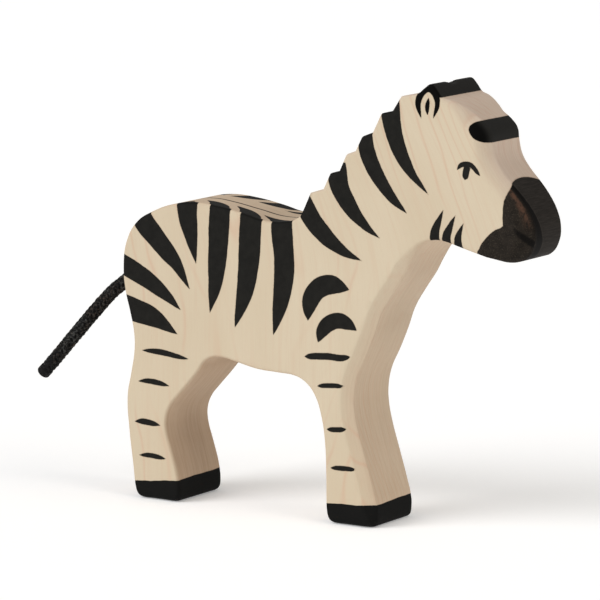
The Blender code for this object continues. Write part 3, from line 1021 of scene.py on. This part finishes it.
# %% Brown of the muzzle
MUZZLE_MIDDLE = -0.8
MUZZLE_START = (53.3, 83.4)
muzzle = paint_distance(flat, [muzzle_area])
nose_radius = np.tile(edges[:, 0], len(rings))
way_round = np.abs(strip[:, 1] - MUZZLE_MIDDLE)
past_side = (1.0 - around[:strip_count]) * math.pi / 2 * nose_radius
way_round = np.where(on_side, way_round, strip_depth + MUZZLE_MIDDLE + past_side)
muzzle_top = MUZZLE_TOP - MUZZLE_FALL * np.minimum(way_round / FALL_REACH, 1.0) ** 2.2
on_nose = along_from(station_of(*MUZZLE_START), strip_along)
below_top = np.where(strip[:, 0] > 50.0, muzzle_top - strip_height, NO_PAINT)
muzzle[:strip_count] = np.minimum(0.8 * below_top, on_nose)
print("highest brown, mm:", round(float(places[muzzle > 0.0, 2].max()), 1))

# %% Mouth and crease
MOUTH_PARTS_AT = 7.0
FAR_CREASE_PLACE = 7.6
FACE_CREASE = 3.0
mouth = paint_distance(flat, [stroke_shape(stroke)[0] for stroke in mouth_strokes])
mouth[np.abs(y) < MOUTH_PARTS_AT] = NO_PAINT
crease = np.full(len(places), NO_PAINT)
crease_place = np.interp(strip_height, CREASE_HEIGHT, CREASE_PLACE)
crease_place = np.where(strip[:, 1] > 0.0, np.maximum(crease_place, FAR_CREASE_PLACE), crease_place)
off_crease = np.abs(strip[:, 1]) - crease_place
crease_width = np.interp(strip_height, CREASE_HEIGHT, CREASE_WIDTH)
crease[:strip_count] = np.where(off_crease > 0.0, off_crease / crease_width, off_crease)
crease[strip_count:] = FACE_CREASE

# %% The thin line, and write it all
BACK_ABOVE = 84.0
BACK_FROM, BACK_TO = -51.0, -14.0
over_back = on_side & (strip[:, 2] > BACK_ABOVE) & (strip[:, 0] > BACK_FROM) & (strip[:, 0] < BACK_TO)
ridge = np.zeros(len(places))
ridge[:strip_count] = over_back
off_ridge = y - np.interp(x, *smooth_line(BACK_LINE, 8).T)
hoof = hoof_line(x, y) - z
for name, values in (("black", black), ("muzzle", muzzle), ("mouth", mouth), ("hoof", hoof)):
    store(name, np.clip(values, NO_PAINT, 2.0))
store("crease", np.clip(crease, NO_PAINT, FACE_CREASE))
store("around", around)
store("ridge", ridge)
store("off_ridge", off_ridge)

# %% [markdown]
# ## Maple under matt paint
# Wood is drawn as it grows: year rings are cylinders round a pith far behind the board, and a saw cut
# through them gives the lines. The distance to that pith, slightly disturbed, makes rings that agree on
# the face, the sides and the back: far apart where the board is cut along them, and close together where
# it is cut across. In the head the grain leans forward and the wood of the side is a little greyer, and
# the inside of the hind leg is darkened with painted shade, as the foreleg shadows it. An image of wood
# would be easier, but it wouldn't run on round the edges.

# %% Helpers for materials
def stretch(tree, place, x, y, z):
    """The place with each direction scaled, so that a noise at it comes out long and narrow."""
    return vectors(tree, "MULTIPLY", place, (x, y, z))


def stored(tree, name):
    """One of the skin's named attributes."""
    return new_node(tree, "ShaderNodeAttribute", {"attribute_name": name}).outputs["Fac"]


# %% How the tree grew
HEAD_FROM, HEAD_BEND, HEAD_LEAN = 84.0, 25.0, 0.55
PITH_PLACE = (-22.0, 80.0)
PITH_TILT = 0.05
DRIFT = 11.0


def with_grain(tree, place):
    """The place as the tree would have it: upright in the body, and leaning forward in the head."""
    over_neck = maths(tree, "SUBTRACT", axis_of(tree, place, 2), HEAD_FROM)
    over_neck = maths(tree, "SMOOTH_MAX", over_neck, 0.0, HEAD_BEND)
    lean = new_node(tree, "ShaderNodeCombineXYZ", X=times(tree, over_neck, HEAD_LEAN)).outputs[0]
    return vectors(tree, "ADD", place, lean)


def pith_distance(tree, place):
    """How far a place is from the middle of the tree, in millimetres."""
    apart = new_node(tree, "ShaderNodeSeparateXYZ", Vector=place).outputs
    away_x = maths(tree, "SUBTRACT", apart[0], PITH_PLACE[0])
    away_y = maths(tree, "MULTIPLY_ADD", apart[2], PITH_TILT, apart[1])
    away_y = maths(tree, "SUBTRACT", away_y, PITH_PLACE[1])
    square = maths(tree, "ADD", times(tree, away_x, away_x), times(tree, away_y, away_y))
    drift = cloud(tree, stretch(tree, place, 0.045, 0.045, 0.018), 1.0, 2.0, 0.4)
    return maths(tree, "MULTIPLY_ADD", drift, DRIFT, maths(tree, "SQRT", square))


# %% Maple
RING_SPACING = 2.15
FACE_PALE, FACE_DEEP = (0.628, 0.534, 0.397), (0.596, 0.498, 0.362)
RING_BROWN, SEAM_BROWN = (0.590, 0.405, 0.285), (0.590, 0.430, 0.305)
FIBRE_BROWN, FLECK_BROWN = (0.56, 0.445, 0.315), (0.56, 0.43, 0.30)
SIDE_TINT, HEAD_TINT = (0.975, 0.920, 0.915), (1.00, 1.02, 1.13)
HIND_PAINTED_SHADE, STREAK_BROWN = (0.500, 0.372, 0.262), (0.36, 0.235, 0.150)


def maple_across(tree, upright, place, colour):
    """The wood's colour where the saw cut across the fibres, on the side, with painted shade inside the
    hind leg.
    """
    apart = new_node(tree, "ShaderNodeSeparateXYZ", Vector=upright).outputs
    low = ramp(tree, apart[2], 58.0, 74.0, 1.0, 0.0)
    hind_in_shade = times(tree, ramp(tree, apart[0], -32.0, -14.0, 1.0, 0.0), low)
    across = blend(tree, 1.0, colour, SIDE_TINT, "MULTIPLY")
    # Painted shade: the low inside of the hind leg is darkened, as the foreleg shadows it; streaks grow
    # too.
    across = blend(tree, times(tree, hind_in_shade, 0.85), across, HIND_PAINTED_SHADE)
    greyer = blend(tree, 1.0, across, HEAD_TINT, "MULTIPLY")
    across = blend(tree, ramp(tree, apart[2], 90.0, 102.0), across, greyer)
    streak = cloud(tree, stretch(tree, place, 0.12, 2.6, 0.05), 1.0, 3.0, 0.6)
    strength = maths(tree, "MULTIPLY_ADD", hind_in_shade, 0.20, 0.15)
    return blend(tree, times(tree, ramp(tree, streak, 0.42, 0.64), strength), across, STREAK_BROWN)


def maple(tree, upright, around):
    """(colour, height) of bare wood. Places are in millimetres."""
    place = with_grain(tree, upright)
    wave = maths(tree, "COSINE", times(tree, pith_distance(tree, place), 2 * math.pi / RING_SPACING))
    ring_line = maths(tree, "POWER", maths(tree, "MULTIPLY_ADD", wave, 0.5, 0.5), 16.0)
    faint = cloud(tree, stretch(tree, place, 0.07, 0.07, 0.03), 1.0, 1.0)
    ring_line = times(tree, ring_line, ramp(tree, faint, 0.40, 0.64, 0.08, 1.0))
    fibre = cloud(tree, stretch(tree, place, 2.6, 2.6, 0.10), 1.0, 3.0, 0.6)
    fleck = cloud(tree, stretch(tree, place, 5.0, 5.0, 0.9), 1.0, 2.0)
    tone = cloud(tree, stretch(tree, place, 0.045, 0.045, 0.02), 1.0, 2.0)
    colour = blend(tree, ramp(tree, tone, 0.3, 0.7), FACE_PALE, FACE_DEEP)
    colour = blend(tree, times(tree, ring_line, 0.55), colour, RING_BROWN)
    seam = cloud(tree, stretch(tree, place, 0.62, 0.62, 0.022), 1.0, 2.0, 0.5)
    colour = blend(tree, ramp(tree, seam, 0.50, 0.66, 0.0, 0.20), colour, SEAM_BROWN)
    colour = blend(tree, ramp(tree, fibre, 0.42, 0.80, 0.0, 0.28), colour, FIBRE_BROWN)
    colour = blend(tree, ramp(tree, fleck, 0.60, 0.80, 0.0, 0.28), colour, FLECK_BROWN)
    across = maple_across(tree, upright, place, colour)
    colour = blend(tree, around, colour, across)
    return colour, maths(tree, "MULTIPLY_ADD", fibre, 0.5, times(tree, ring_line, -0.3))


# %% [markdown]
# ## Thin brown on the muzzle
# The muzzle's paint is thin and rubbed: smoky on the face, with pale specks and a reddish patch beside
# the crease, and streaked across on the side, with a paler line there that is a painted highlight. The
# rounding beside the crease is darkened with painted shade, and the mouth is nearly black paint. All of
# it but the mouth hangs on one stored distance, the way to the crease, so the parts fade into each other
# at the right places.

# %% Muzzle paint
SMOKY_DARK, SMOKY_PALE = (0.0144, 0.0119, 0.0096), (0.0224, 0.0179, 0.0142)
STREAKY_DARK, STREAKY_PALE = (0.0199, 0.0172, 0.0149), (0.0319, 0.0274, 0.0239)
SPECK_BROWN, RUBBED_RED = (0.055, 0.045, 0.034), (0.098, 0.052, 0.034)
PAINTED_RIM_HIGHLIGHT, CREASE_SHADE_AND_MOUTH_BLACK = (0.060, 0.053, 0.044), (0.0042, 0.0038, 0.0036)


def muzzle_face(tree, place, crease):
    """Smoky brown with pale specks, and a reddish patch above, beside the crease."""
    smoke = cloud(tree, stretch(tree, place, 0.45, 0.45, 0.45), 1.0, 4.0, 0.65)
    specks = cloud(tree, place, 2.7, 2.0, 0.7)
    warm = cloud(tree, stretch(tree, place, 0.9, 0.9, 0.5), 1.0, 3.0, 0.7)
    face = blend(tree, ramp(tree, smoke, 0.34, 0.66), SMOKY_DARK, SMOKY_PALE)
    face = blend(tree, ramp(tree, specks, 0.52, 0.70, 0.0, 0.75), face, SPECK_BROWN)
    beside = times(tree, ramp(tree, crease, 0.75, 1.0), ramp(tree, crease, 1.1, 1.6, 1.0, 0.0))
    upper = times(tree, beside, ramp(tree, axis_of(tree, place, 2), 90.0, 97.0))
    reddish = times(tree, upper, ramp(tree, warm, 0.36, 0.60, 0.1, 0.9))
    return blend(tree, reddish, face, RUBBED_RED)


def muzzle_side(tree, place, crease):
    """Brown brushed across the nose, with a paler line beside the crease that is a painted highlight."""
    streaks = cloud(tree, stretch(tree, place, 1.5, 0.22, 3.6), 1.0, 3.0, 0.6)
    side = blend(tree, ramp(tree, streaks, 0.35, 0.70), STREAKY_DARK, STREAKY_PALE)
    # Painted highlight: a paler line on the side, just beside the crease.
    painted_highlight = times(tree, ramp(tree, crease, -0.55, -0.2), ramp(tree, crease, -0.2, 0.05, 1.0, 0.0))
    return blend(tree, times(tree, painted_highlight, 0.15), side, PAINTED_RIM_HIGHLIGHT)


def muzzle_colour(tree, place):
    """Thin brown paint, painted shade along the crease, and black paint at the mouth."""
    crease = stored(tree, "crease")
    face, side = muzzle_face(tree, place, crease), muzzle_side(tree, place, crease)
    colour = blend(tree, ramp(tree, crease, -0.1, 0.15), side, face)
    # Painted shade: a dark band on the rounding beside the crease; the mouth on top of it is black paint.
    shadow = times(tree, ramp(tree, crease, -0.12, 0.15), ramp(tree, crease, 0.45, 1.15, 0.93, 0.0))
    dark = maths(tree, "MAXIMUM", shadow, ramp(tree, stored(tree, "mouth"), -0.45, 0.35, 0.0, 0.9))
    return blend(tree, dark, colour, CREASE_SHADE_AND_MOUTH_BLACK)


# %% [markdown]
# ## Matt black over the wood
# The black is a little uneven. It is greyer on the side of the board, which is a painted sheen, and
# deepest on the worked edge between face and side, which is painted shade, and on the brow. Beside every
# edge of it the wood has taken up some pigment, a brownish rim that is under half a millimetre wide. A
# fine noise is added to the distances, so the edges fray as on real wood. Paint is a touch rougher than
# the bare wood and stands a hair above it, which the bump shows.

# %% Black paint with its shades
BLACK_DARK, BLACK_PALE = (0.0109, 0.0105, 0.0094), (0.0152, 0.0145, 0.0128)
SIDE_BLACK_SHEEN, FOLD_PAINTED_SHADE = (0.0239, 0.0234, 0.0219), (0.0036, 0.0034, 0.0030)
BROW_BLACK, HOOF_BLACK = (0.0014, 0.0013, 0.0012), (0.0076, 0.0076, 0.0072)
STAINED_WOOD = (0.33, 0.235, 0.155)


def black_paint(tree, place, around):
    """The black of the strokes, by where on the body it is."""
    apart = new_node(tree, "ShaderNodeSeparateXYZ", Vector=place).outputs
    smoke = cloud(tree, stretch(tree, place, 0.35, 0.35, 0.35), 1.0, 4.0, 0.62)
    black = blend(tree, ramp(tree, smoke, 0.3, 0.7), BLACK_DARK, BLACK_PALE)
    # Painted sheen: the black is made greyer on the side of the board, where it catches more light.
    black = blend(tree, times(tree, around, 0.6), black, SIDE_BLACK_SHEEN)
    # Painted shade: the black is deepened along the worked edge between face and side, up to the head.
    halfway = maths(tree, "ABSOLUTE", maths(tree, "MULTIPLY_ADD", around, 2.0, -1.0))
    on_edge = maths(tree, "SUBTRACT", 1.0, halfway)
    fold_shade = times(tree, on_edge, ramp(tree, apart[0], 38.0, 44.0, 0.75, 0.0))
    black = blend(tree, fold_shade, black, FOLD_PAINTED_SHADE)
    brow = times(tree, ramp(tree, apart[0], 30.0, 32.0), ramp(tree, apart[2], 111.0, 113.0))
    brow = times(tree, brow, ramp(tree, around, 0.50, 0.86, 0.95, 0.0))
    return blend(tree, brow, black, BROW_BLACK)


# %% Paint over maple
def body_material():
    """Maple with the black, the brown and the hooves over it, each inside its stored distance."""
    material, shader = new_material("painted_maple")
    tree = material.node_tree
    metres = new_node(tree, "ShaderNodeTexCoord").outputs["Object"]
    place = vectors(tree, "SCALE", metres, scale=1 / MM)
    around = stored(tree, "around")
    wood, wood_height = maple(tree, place, around)
    ragged = maths(tree, "MULTIPLY_ADD", cloud(tree, place, 2.2, 3.0, 0.6), 0.22, -0.11)
    off_line = maths(tree, "ABSOLUTE", stored(tree, "off_ridge"))
    hair = maths(tree, "MULTIPLY_ADD", stored(tree, "ridge"), 2.40, -2.0)
    hair = maths(tree, "SUBTRACT", hair, off_line)
    black_in = maths(tree, "MAXIMUM", maths(tree, "ADD", stored(tree, "black"), ragged), hair)
    muzzle_in = maths(tree, "ADD", stored(tree, "muzzle"), ragged)
    hoof_in = maths(tree, "ADD", stored(tree, "hoof"), ragged)
    paint = maths(tree, "MAXIMUM", black_in, muzzle_in)
    colour = blend(tree, ramp(tree, paint, -0.30, 0.0, 0.0, 0.30), wood, STAINED_WOOD)
    colour = blend(tree, ramp(tree, muzzle_in, -0.08, 0.08), colour, muzzle_colour(tree, place))
    colour = blend(tree, ramp(tree, black_in, -0.05, 0.06), colour, black_paint(tree, place, around))
    colour = blend(tree, ramp(tree, hoof_in, -0.06, 0.08), colour, HOOF_BLACK)
    tree.links.new(colour, shader.inputs["Base Color"])
    cover = ramp(tree, maths(tree, "MAXIMUM", paint, hoof_in), -0.05, 0.08)
    tree.links.new(maths(tree, "MULTIPLY_ADD", cover, 0.04, 0.58), shader.inputs["Roughness"])
    shader.inputs["Specular IOR Level"].default_value = 0.045
    film = maths(tree, "MULTIPLY_ADD", cloud(tree, place, 1.6, 3.0, 0.6), 0.5, 0.5)
    height = maths(tree, "MULTIPLY_ADD", cover, film, times(tree, wood_height, 0.8))
    bump = new_node(tree, "ShaderNodeBump", Height=height, Strength=0.35, Distance=0.00009)
    tree.links.new(bump.outputs[0], shader.inputs["Normal"])
    return material


body_data.materials.append(body_material())
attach(body, "root")
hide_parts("body")
print("painted_maple:", len(body_data.materials[0].node_tree.nodes), "nodes")

# %% [markdown]
# ## A white table and soft light
# The catalogue picture has a plain white ground, as over a light table, so the table here glows a little.
# One very large soft light stands in front and to the left of the camera: a sun lamp with a wide angle is
# exactly that, and it lights the whole table evenly. A weak one on the right lifts the chest, but not the
# inside of the hind leg, which stays in the shadow of the foreleg. The plain Standard view keeps white
# paper white.

# %% Stage, world and light
TABLE_RADIUS = 9.0
TABLE_CORNERS = 64
table_data = bpy.data.meshes.new("table")
round_it = [math.tau * i / TABLE_CORNERS for i in range(TABLE_CORNERS)]
table_rim = [(TABLE_RADIUS * math.cos(angle), TABLE_RADIUS * math.sin(angle), 0.0) for angle in round_it]
table_data.from_pydata(table_rim, [], [list(range(TABLE_CORNERS))])
table = bpy.data.objects.new("table", table_data)
bpy.context.scene.collection.objects.link(table)
table_material, table_shader = new_material("white_table")
table_shader.inputs["Base Color"].default_value = (0.92, 0.92, 0.92, 1.0)
table_shader.inputs["Roughness"].default_value = 0.75
table_shader.inputs["Specular IOR Level"].default_value = 0.1
table_shader.inputs["Emission Color"].default_value = (1.0, 1.0, 1.0, 1.0)
table_shader.inputs["Emission Strength"].default_value = 0.23
table_data.materials.append(table_material)

world = bpy.data.worlds.new("studio")
world.use_nodes = True
world.node_tree.nodes["Background"].inputs[0].default_value = (1.0, 1.0, 1.0, 1.0)
world.node_tree.nodes["Background"].inputs[1].default_value = 0.39
bpy.context.scene.world = world
bpy.context.scene.view_settings.view_transform = "Standard"

WHITE, WARM_WHITE = (1.0, 1.0, 1.0), (1.0, 0.92, 0.82)
lamps = [
    ("soft_box", (0.48, 0.65, -0.59), 1.86, 40.0, WHITE),
    ("fill_card", (-0.78, 0.05, -0.62), 0.74, 34.0, WARM_WHITE),
]
for name, direction, strength, angle, tint in lamps:
    lamp = bpy.data.lights.new(name, "SUN")
    lamp.energy = strength
    lamp.angle = math.radians(angle)
    lamp.color = tint
    light = bpy.data.objects.new(name, lamp)
    light.rotation_euler = Vector(direction).to_track_quat("-Z", "Y").to_euler()
    bpy.context.scene.collection.objects.link(light)
print("stage is set")
